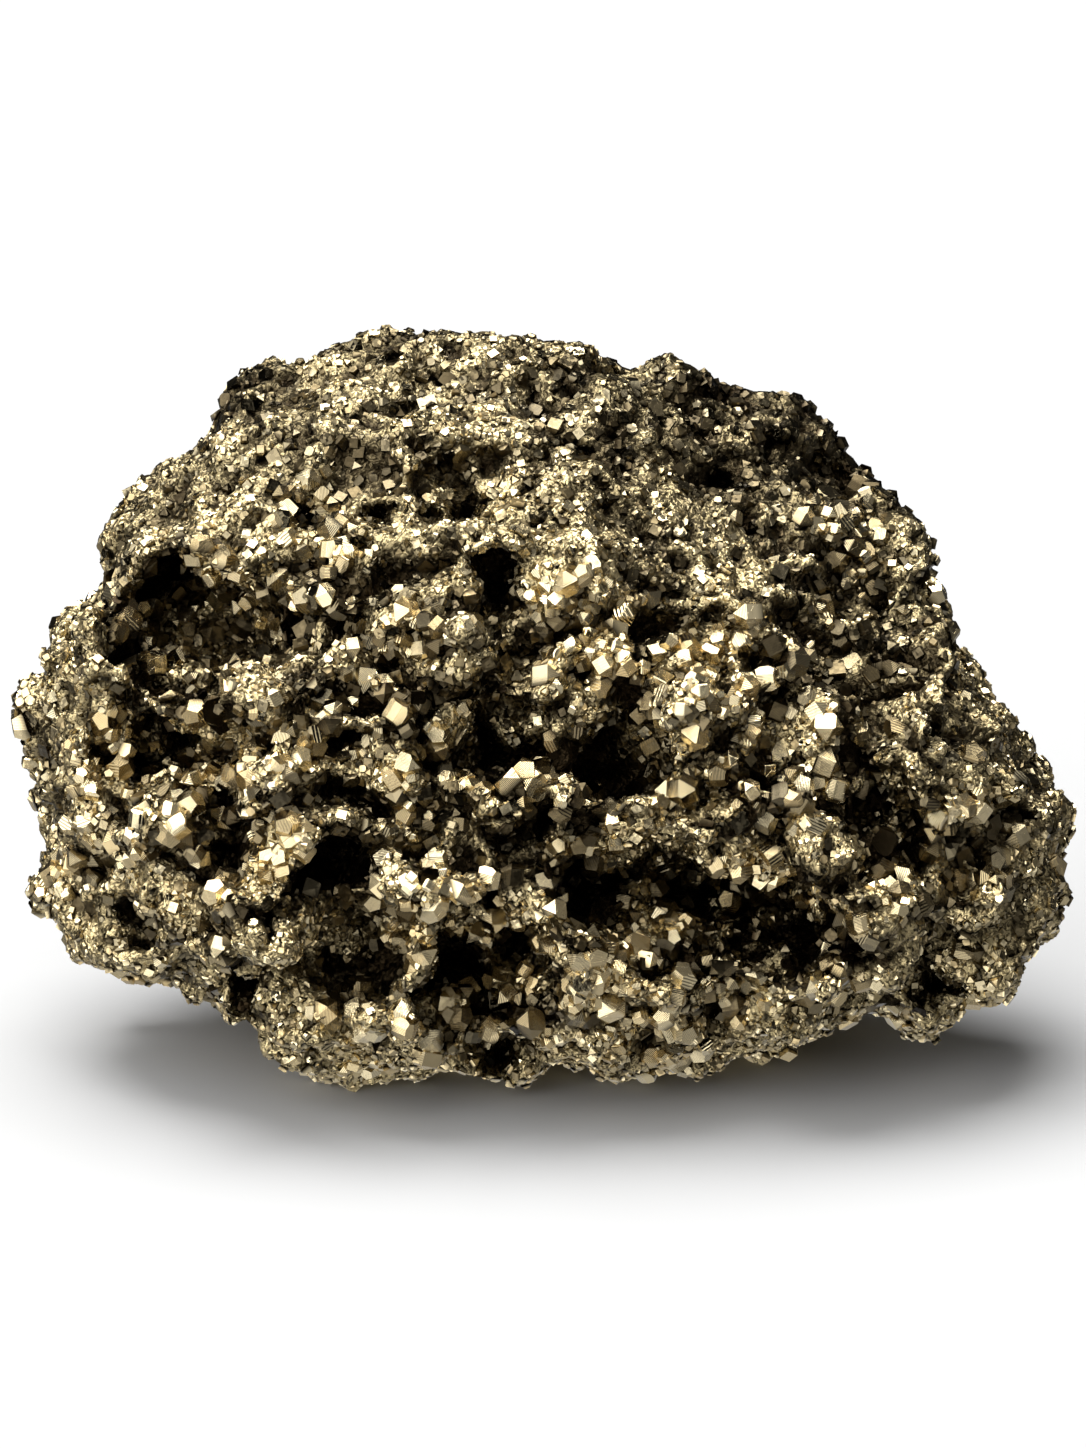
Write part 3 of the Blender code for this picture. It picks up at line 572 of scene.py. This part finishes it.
def joined(name, crystals, picks, places, normals, sizes, sunk, openness, leans, metal):
    """One piece from many crystals, each turned about its own direction and set on the skin."""
    points, faces, grown, tones, opens, rises = [], [], [], [], [], []
    start = 0
    spins = rng.uniform(0, math.tau, len(picks))
    tints = rng.random(len(picks))
    up = normals + leans
    up /= np.linalg.norm(up, axis=1, keepdims=True)
    helper = np.where(np.abs(up[:, 2:3]) < 0.9, [[0.0, 0.0, 1.0]], [[1.0, 0.0, 0.0]])
    side = np.cross(helper, up)
    side /= np.linalg.norm(side, axis=1, keepdims=True)
    other = np.cross(up, side)
    first = side * np.cos(spins)[:, None] + other * np.sin(spins)[:, None]
    second = np.cross(up, first)
    turns = np.stack([first, second, up], axis=2)
    for number, (corners, triangles, plain, rise) in enumerate(crystals):
        chosen = np.where(picks == number)[0]
        if not len(chosen):
            continue
        local = corners[None] * sizes[chosen, None, None] * MM
        world = np.einsum("kij,knj->kni", turns[chosen], local)
        world += (places[chosen] - up[chosen] * sunk[chosen, None] * MM)[:, None, :]
        points.append(world.reshape(-1, 3))
        offsets = start + len(corners) * np.arange(len(chosen))
        faces.append((triangles[None] + offsets[:, None, None]).reshape(-1, 3))
        own_place = plain[None] * sizes[chosen, None, None] + TINT_SHIFT * tints[chosen, None, None]
        grown.append(own_place.reshape(-1, 3))
        tones.append(np.repeat(tints[chosen], len(corners)))
        opens.append(np.repeat(openness[chosen], len(corners)))
        rises.append(np.tile(rise, len(chosen)))
        start += len(corners) * len(chosen)
    points, faces = np.concatenate(points), np.concatenate(faces)
    points[:, 2] = np.maximum(points[:, 2], 0.0)
    mesh = bpy.data.meshes.new(name)
    mesh.vertices.add(len(points))
    mesh.vertices.foreach_set("co", points.astype(np.float32).ravel())
    mesh.loops.add(faces.size)
    mesh.loops.foreach_set("vertex_index", faces.astype(np.int32).ravel())
    mesh.polygons.add(len(faces))
    mesh.polygons.foreach_set("loop_start", np.arange(0, faces.size, 3, dtype=np.int32))
    mesh.update(calc_edges=True)
    mesh.shade_flat()
    for kind, values in (("tone", tones), ("openness", opens), ("rise", rises)):
        attribute = mesh.attributes.new(kind, "FLOAT", "POINT")
        attribute.data.foreach_set("value", np.concatenate(values).astype(np.float32))
    growth = mesh.attributes.new("growth", "FLOAT_VECTOR", "POINT")
    growth.data.foreach_set("vector", np.concatenate(grown).astype(np.float32).ravel())
    piece = bpy.data.objects.new(name, mesh)
    bpy.context.scene.collection.objects.link(piece)
    mesh.materials.append(metal)
    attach(piece, "root")


# The coarse crystals: single crystals of 1 to 3 mm on the ledges, on the knobs and in the hollows of
# the front, and in the same way round the back. Clean, bright and finely grooved faces.
crystal_metal, wires, shader = new_metal("pyrite_crystals")
tone, openness, rise = (attribute_of(wires, name) for name in ("tone", "openness", "rise"))
growth = attribute_of(wires, "growth", "Vector")
BANDS = {"wave_type": "BANDS", "bands_direction": "X"}
grooves = wires.node(
    "ShaderNodeTexWave",
    BANDS,
    {"Vector": growth, "Scale": 2.2, "Distortion": 1.2, "Detail": 2.0, "Detail Scale": 1.0},
    "Fac",
)
# Painted shade: each crystal darkens towards its foot and where the skin about it is shut in.
lit = openness.ease(-0.02, 0.36) * rise.ease(-0.15, 0.55)
wires.tree.links.new(lit.mix(PAINTED_SHADE_BROWN, tone.mix(BRASS, WARM_BRASS)).socket, shader.inputs["Base Color"])
wires.tree.links.new((0.08 + 0.14 * tone).socket, shader.inputs["Roughness"])
raise_bumps(wires, shader, small_facets(growth, 0.9, 0.00012) + grooves * 0.00002)

# Those that stand out in the photograph: right, up, radius, habit, whether a face is turned so that it
# throws the light at the viewer, whether it is grooved.
NAMED = [
    (-40.0, 11.2, 1.2, "pyritohedron", 1, 0), (-23.7, 20.5, 1.1, "cut_cube", 1, 0),
    (-19.3, 16.8, 1.0, "cut_cube", 1, 0), (-21.7, 16.7, 0.8, "cuboctahedron", 1, 0),
    (-21.8, 12.5, 1.4, "cut_cube", 1, 0), (-28.1, 9.8, 1.0, "blend", 1, 0),
    (-33.0, 14.3, 1.2, "cut_cube", 0, 0), (-24.8, 11.4, 0.9, "blend", 0, 0),
    (8.2, 10.7, 1.5, "cut_cube", 1, 1), (4.3, 10.3, 0.9, "cuboctahedron", 1, 0),
    (11.9, 3.7, 1.2, "cube", 1, 0), (11.3, 6.5, 1.2, "cube", 0, 0), (2.9, 7.4, 1.1, "blend", 0, 0),
    (4.7, 8.8, 1.0, "cut_cube", 0, 0), (7.2, 7.4, 1.0, "blend", 0, 0), (-1.2, 12.3, 0.9, "cut_cube", 1, 0),
    (-12.6, 9.6, 0.9, "blend", 1, 1), (-15.9, 7.2, 0.9, "cut_cube", 1, 1),
    (28.6, 20.6, 1.0, "cuboctahedron", 0, 0), (31.4, 20.6, 0.9, "cuboctahedron", 1, 0),
    (31.2, 18.4, 0.8, "cube", 0, 0), (32.1, 16.4, 0.9, "cut_cube", 1, 0), (31.9, 14.7, 0.8, "blend", 1, 0),
    (19.9, 7.8, 1.3, "cut_cube", 1, 1), (26.6, 7.4, 0.9, "blend", 0, 0), (-36.4, -10.7, 1.6, "blend", 0, 0),
    (-35.0, -6.0, 1.2, "cut_cube", 1, 0), (-41.7, -1.3, 1.0, "cuboctahedron", 1, 0),
    (-43.0, -2.8, 0.8, "blend", 1, 0), (-44.8, -4.0, 0.8, "cut_cube", 0, 0),
    (-32.7, 4.6, 1.0, "cut_cube", 1, 0), (-26.4, -13.0, 0.9, "blend", 0, 0),
    (-47.6, -15.3, 0.8, "cut_cube", 1, 0), (-28.8, -11.7, 1.0, "blend", 1, 1),
    (-0.1, -5.2, 1.8, "cut_cube", 1, 1), (2.3, -6.0, 1.0, "cuboctahedron", 0, 0),
    (5.2, -6.8, 0.9, "cut_cube", 1, 0), (4.5, -8.5, 0.9, "blend", 0, 0),
    (-18.9, 1.8, 0.9, "cut_cube", 1, 0), (-11.5, -0.9, 0.9, "blend", 0, 0),
    (-10.3, -15.2, 1.1, "cut_cube", 1, 0), (-11.5, -16.6, 0.9, "blend", 1, 0),
    (4.4, -13.0, 0.9, "cuboctahedron", 1, 0), (1.9, -17.8, 1.0, "cut_cube", 1, 0),
    (-13.4, -8.6, 0.8, "blend", 1, 0), (-11.3, -9.5, 0.8, "cut_cube", 0, 0),
    (-13.0, -11.7, 0.8, "blend", 1, 0), (13.9, 1.0, 1.1, "cuboctahedron", 1, 0),
    (18.7, -3.9, 1.0, "cut_cube", 1, 0), (16.7, -5.3, 0.8, "blend", 1, 0),
    (20.7, -7.0, 1.2, "cut_cube", 1, 0), (22.4, -5.1, 0.9, "cube", 0, 0),
    (39.5, -10.0, 1.3, "cut_cube", 1, 1), (29.1, -7.0, 1.8, "blend", 0, 0),
    (20.8, -15.4, 0.8, "cut_cube", 0, 0), (28.5, -22.9, 1.1, "cut_cube", 1, 0),
    (6.6, -28.6, 2.0, "cuboctahedron", 1, 0), (12.8, -31.2, 1.2, "cube", 0, 0),
    (5.7, -24.6, 1.0, "blend", 1, 0), (1.3, 6.5, 1.0, "blend", 0, 0), (9.7, 12.0, 0.9, "blend", 1, 0),
    (10.0, 5.2, 1.0, "cut_cube", 0, 0), (15.7, 6.5, 0.9, "blend", 0, 0),
    (15.7, 3.0, 1.1, "cuboctahedron", 0, 0),
]
# Round patches of the front where the crystals are coarse: right, up, radius.
COARSE_PATCHES = [
    (-36.3, 10.3, 5.0), (-21.6, 18.0, 3.6), (4.6, 8.6, 6.0), (16.5, 0.5, 7.0), (30.7, 18.0, 3.6),
    (-17.3, 0.5, 4.0), (1.3, -6.0, 5.0), (-36.3, -9.3, 5.0), (-7.5, -14.8, 4.0), (8.9, -22.4, 7.5),
    (29.6, -23.5, 4.0), (-10.3, -29.0, 4.0), (43.2, -12.6, 4.0), (-24.9, -1.7, 4.0), (25.2, 3.2, 4.5),
    (-44.0, -4.0, 4.0), (22.0, -8.0, 4.0), (-13.0, 8.5, 3.0), (-11.0, -7.0, 3.5), (-30.0, -4.5, 3.5),
    (-25.0, -11.0, 3.5), (-14.5, -20.0, 3.5), (-2.0, -29.5, 3.5), (3.5, -13.0, 3.5), (18.0, -27.0, 3.5),
    (35.0, -15.5, 3.5), (-43.0, -12.5, 3.5), (-20.0, -29.0, 3.5), (12.0, -5.5, 3.0), (-33.0, -19.0, 3.0),
    (-6.0, -22.0, 4.0), (20.0, -17.0, 4.0),
]
# Round patches where the grains have grown together into a dull skin: right, up, radius.
MATTE_PATCHES = [
    (12.0, 15.5, 9.0), (21.0, 12.0, 6.0), (2.0, 17.5, 6.0), (-6.0, 6.0, 4.0), (-15.0, 13.0, 4.5),
    (28.0, -12.0, 4.0), (12.0, -12.0, 4.0), (-24.0, -17.0, 3.5), (-43.0, 2.0, 4.0), (36.0, -20.0, 5.0),
    (-30.0, -23.0, 5.0), (40.0, -2.0, 5.0),
]


def share_in(patches, right, up, places):
    """How far each place lies in one of some round patches, whose edges are ragged."""
    ragged = noise_at(places, 2.6)
    inside = np.zeros(len(places))
    for x, y, radius in patches:
        away = np.hypot(right - x, up - y) / radius - 0.5 * ragged
        inside = np.maximum(inside, ease_array(1.15, 0.75, away))
    return inside


DISTANCE = 1.2
AIM = MIDDLE + FACE_UP * -0.4 * MM
EYE = AIM + FACE_OUT * DISTANCE
LAMP_SIDE = Vector((-0.52, -0.4, 0.75)).normalized()
SHINING = (FACE_OUT + LAMP_SIDE).normalized()
TURNED_AWAY = Vector((0.35, -0.75, 0.15)).normalized()
LEADING_SIZE = 0.8
UNCUT = -2.0
LEAN_DEG = 14
BEVEL_SHARE = 0.09
KEPT_CLEAR = 0.8

grooved_metal, wires, shader = new_metal("grooved_pyrite")
growth = attribute_of(wires, "growth", "Vector")
tone = attribute_of(wires, "tone")
grooves = wires.node(
    "ShaderNodeTexWave",
    BANDS,
    {"Vector": growth, "Scale": 0.8, "Distortion": 0.6, "Detail": 1.0, "Detail Scale": 0.6},
    "Fac",
)
wires.tree.links.new(tone.mix(BRASS, WARM_BRASS).socket, shader.inputs["Base Color"])
shader.inputs["Roughness"].default_value = 0.12
raise_bumps(wires, shader, grooves, 0.00012)

named_spots = []


def grow_named(name, wanted_grooved, metal):
    """One piece with the named crystals, each at its place in the view, on the mass behind it."""
    bpy.ops.object.select_all(action="DESELECT")
    parts = []
    for right, up, seen_radius, habit, shining, grooved in NAMED:
        if grooved != wanted_grooved:
            continue
        radius = seen_radius * LEADING_SIZE
        aim = MIDDLE + Vector((right, 0, 0)) * MM + FACE_UP * up * MM
        hit = mass_tree.ray_cast(EYE, (aim - EYE).normalized())[0]
        if hit is None:
            continue
        towards = SHINING if shining else TURNED_AWAY
        front = Vector(FACE if grooved else chance.choice((FACE, EDGE, CORNER)))
        spin = Matrix.Rotation(chance.uniform(0, math.tau), 3, front)
        face = front.rotation_difference(towards).to_matrix() @ spin
        lean_x = Matrix.Rotation(math.radians(chance.uniform(-LEAN_DEG, LEAN_DEG)), 3, "X")
        lean_y = Matrix.Rotation(math.radians(chance.uniform(-LEAN_DEG, LEAN_DEG)), 3, "Y")
        turn = face @ (lean_x @ lean_y)
        _, triangles, plain, _ = grow_crystal(habit, Matrix.Identity(3), UNCUT)
        corners = [turn @ Vector(corner) for corner in plain * radius * MM]
        mesh = bpy.data.meshes.new(name)
        mesh.from_pydata(corners, [], triangles.tolist())
        single = bpy.data.objects.new(name, mesh)
        bpy.context.scene.collection.objects.link(single)
        bpy.context.view_layer.objects.active = single
        single.select_set(True)
        bpy.ops.object.mode_set(mode="EDIT")
        bpy.ops.mesh.select_all(action="SELECT")
        bpy.ops.mesh.dissolve_limited(angle_limit=math.radians(1.0))
        bpy.ops.mesh.select_all(action="SELECT")
        bpy.ops.mesh.bevel(offset=BEVEL_SHARE * radius * MM, segments=1, affect="EDGES")
        bpy.ops.mesh.select_all(action="SELECT")
        bpy.ops.mesh.quads_convert_to_tris()
        bpy.ops.object.mode_set(mode="OBJECT")
        centre = hit + FACE_OUT * 0.25 * radius * MM
        back = turn.inverted()
        tint = chance.random()
        mesh.attributes.new("growth", "FLOAT_VECTOR", "POINT")
        for kind, value in (("tone", 0.4 * tint), ("openness", 1.0), ("rise", 1.0)):
            attribute = mesh.attributes.new(kind, "FLOAT", "POINT")
            attribute.data.foreach_set("value", [value] * len(mesh.vertices))
        for vert in mesh.vertices:
            grown = (back @ vert.co) / MM + Vector((tint, tint, tint)) * 30.0
            mesh.attributes["growth"].data[vert.index].vector = grown
            place = centre + vert.co
            vert.co = Vector((place.x, place.y, max(0.0, place.z)))
        named_spots.append((centre, KEPT_CLEAR * radius * MM))
        parts.append(single)
    bpy.ops.object.select_all(action="DESELECT")
    for single in parts:
        single.select_set(True)
    bpy.context.view_layer.objects.active = parts[0]
    bpy.ops.object.join()
    piece = bpy.context.object
    piece.name = name
    piece.data.materials.clear()
    piece.data.materials.append(metal)
    piece.data.shade_flat()
    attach(piece, "root")


grow_named("leading_crystals", 0, crystal_metal)
grow_named("grooved_crystals", 1, grooved_metal)

# The many coarse crystals between them, thickest in patches and about the ones that stand out.
COARSE_STREWN = 30000
places, normals, opens = skin.strew(COARSE_STREWN)
right, up, out = seen_arrays(places)
fine = np.array([fineness(*spot) for spot in zip(right, up, out)])
patches = noise_at(places, 5.0)
nearby = np.zeros(len(places))
for x, y, radius, _, _, _ in NAMED:
    nearby = np.maximum(nearby, (np.hypot(right - x, up - y) < 1.6 + 1.3 * radius) & (out > -5.0))
front = ease_array(-8.0, -2.0, out) * ease_array(0.1, 0.4, normals @ np.array(FACE_OUT))
coarse = share_in(COARSE_PATCHES, right, up, places)
plain = share_in(MATTE_PATCHES, right, up, places)
scattered = (1.0 - 0.95 * fine) * (patches > 0.2) * (1.0 - 0.75 * front) * (1.0 - 0.9 * front * plain)
wanted = np.maximum(np.maximum(scattered, front * coarse), nearby)
usable = (rng.random(len(places)) < wanted) & (opens > 0.05) & (places[:, 2] > 1.5 * MM)
places, normals, opens = places[usable], normals[usable], opens[usable]
sizes = 0.5 + 0.95 * rng.random(len(places)) ** 2.6
order = np.argsort(-sizes)
places, normals, opens, sizes = places[order], normals[order], opens[order], sizes[order]
kept = keep_apart(places, sizes * 0.95, named_spots)
places, normals, opens, sizes = places[kept], normals[kept], opens[kept], sizes[kept]
picks = rng.integers(0, len(coarse_crystals), len(places))
leans = rng.normal(0.0, 0.2, places.shape)
depths = sizes * rng.uniform(0.3, 0.9, len(places))
joined("coarse_crystals", coarse_crystals, picks, places, normals, sizes, depths, opens, leans, crystal_metal)
coarse_places = named_spots + [(Vector(p), KEPT_CLEAR * s * MM) for p, s in zip(places, sizes)]

# The fine druse: grains of about 0.5 to 1.5 mm that cover the whole lump like coarse sugar, wider apart
# behind and sparse on the dull patches. It is made as one layer and kept as pieces that meet along
# straight lines.
grain_metal, wires, shader = new_metal("pyrite_grains")
tone, openness, rise = (attribute_of(wires, name) for name in ("tone", "openness", "rise"))
position = wires.node("ShaderNodeTexCoord", output="Object")
# Painted shade: each grain darkens towards its foot, which paints shade between the grains, and where the
# skin about it is shut in.
lit = openness.ease(-0.02, 0.45) * rise.ease(0.05, 0.75)
wires.tree.links.new(lit.mix(PAINTED_SHADE_BROWN, tone.mix(BRASS, WARM_BRASS)).socket, shader.inputs["Base Color"])
wires.tree.links.new((0.1 + 0.22 * tone).socket, shader.inputs["Roughness"])
raise_bumps(wires, shader, small_facets(position, 2600.0, 0.25))

FINE_STREWN = 260000
places, normals, opens = skin.strew(FINE_STREWN)
right, up, out = seen_arrays(places)
behind = ease_array(2.0, -8.0, out)
matte = noise_at(places, 4.5, (3.0, 9.0, 6.0))
matte = ease_array(0.12, 0.3, matte + 0.25 * share_in(MATTE_PATCHES, right, up, places) * (behind < 0.5))
usable = (opens > 0.03) & (places[:, 2] > 0.4 * MM) & (rng.random(len(places)) > 0.75 * matte)
places, normals, opens, behind = (a[usable] for a in (places, normals, opens, behind))
coarseness = noise_at(places, 7.0)
spacing = (0.68 + 0.25 * coarseness + 0.24 * behind) * rng.uniform(0.8, 1.25, len(places))
spacing += 0.4 * (opens < 0.15)
kept = keep_apart(places, spacing, coarse_places)
places, normals, opens, spacing = places[kept], normals[kept], opens[kept], spacing[kept]
sizes = spacing * rng.uniform(0.5, 0.8, len(places))
picks = rng.integers(0, len(fine_crystals), len(places))
leans = rng.normal(0.0, 0.08, places.shape)
right, up, out = seen_arrays(places)
FRONT_FROM, TOP_FROM, FINE_SUNK = -4.0, 12.0, 0.2
in_front, on_left = out > FRONT_FROM, right < 0.0
on_top = in_front & (up > TOP_FROM)
regions = {
    "druse_top_left": on_top & on_left,
    "druse_top_right": on_top & ~on_left,
    "druse_front_left": in_front & ~on_top & on_left,
    "druse_front_right": in_front & ~on_top & ~on_left,
    "druse_back_left": ~in_front & on_left,
    "druse_back_right": ~in_front & ~on_left,
}
for name, inside in regions.items():
    joined(
        name, fine_crystals, picks[inside], places[inside], normals[inside], sizes[inside],
        FINE_SUNK * sizes[inside], opens[inside], leans[inside], grain_metal,
    )

# The surface that the lump stands on: one plain white sheet, wide enough to fill every view.
bpy.ops.object.select_all(action="DESELECT")
bpy.ops.mesh.primitive_plane_add(size=6.0, location=(0.0, 0.0, 0.0))
floor = bpy.context.object
floor.name = "white_sheet"
paper = bpy.data.materials.new("white_paper")
paper.use_nodes = True
paper.node_tree.nodes["Principled BSDF"].inputs["Base Color"].default_value = (0.31, 0.31, 0.31, 1.0)
paper.node_tree.nodes["Principled BSDF"].inputs["Roughness"].default_value = 0.9
floor.data.materials.append(paper)
floor.visible_glossy = False

# Studio light: one very wide lamp overhead, a little behind and to the left, throws the soft shadow. A
# large soft box stands high at the left in front, with weaker ones at the left, at the right and low in
# front, and a dim glow comes from below. The rest of the room is dark, and the facets show all of it.
lamp = bpy.data.objects.new("back_lamp", bpy.data.lights.new("back_lamp", "SUN"))
bpy.context.scene.collection.objects.link(lamp)
lamp.data.energy = 6.0
lamp.data.angle = math.radians(49.0)
lamp.rotation_mode = "QUATERNION"
lamp.rotation_quaternion = Vector((-0.14, 0.16, 0.98)).to_track_quat("Z", "Y")

room = bpy.data.worlds.new("room")
bpy.context.scene.world = room
room.use_nodes = True
room_wires = Wire(room.node_tree)
direction = room_wires.node("ShaderNodeTexCoord", output="Generated")
height = room_wires.node("ShaderNodeSeparateXYZ", inputs={"Vector": direction}, output="Z")


def soft_box(towards, dim_from, full_from, radiance):
    facing = direction.vector("DOT_PRODUCT", tuple(Vector(towards).normalized()), "Value")
    return facing.ease(dim_from, full_from) * radiance


glow = (
    soft_box(LAMP_SIDE, 0.62, 0.87, 3.4)
    + soft_box((-0.85, -0.5, 0.15), 0.7, 0.95, 1.7)
    + soft_box((0.8, -0.35, 0.45), 0.75, 0.97, 0.6)
    + soft_box((-0.35, -0.75, -0.55), 0.84, 0.96, 1.6)
    + height.ease(-0.1, -0.75) * 0.6
    + height.ease(0.2, 1.0) * 0.05
    + 0.015
)
backdrop = room.node_tree.nodes["Background"]
room.node_tree.links.new(glow.socket, backdrop.inputs["Strength"])
backdrop.inputs["Color"].default_value = (1.0, 1.0, 1.0, 1.0)

# The camera, at the photograph's angle: in front of the lump and above it, looking down by the tilt. A
# pixel of the photograph is a tenth of a millimetre at the lump, which gives the focal length.
camera = bpy.data.objects.new("camera", bpy.data.cameras.new("camera"))
bpy.context.scene.collection.objects.link(camera)
camera.location = EYE
camera.rotation_euler = (math.pi / 2.0 - TILT, 0.0, 0.0)
camera.data.sensor_fit = "VERTICAL"
SENSOR_HEIGHT = 24.0
SEEN_HEIGHT = 0.1448
camera.data.sensor_height = SENSOR_HEIGHT
camera.data.lens = SENSOR_HEIGHT * DISTANCE / SEEN_HEIGHT
camera.data.clip_start = 0.05
bpy.context.scene.camera = camera
bpy.context.scene.view_settings.view_transform = "Standard"
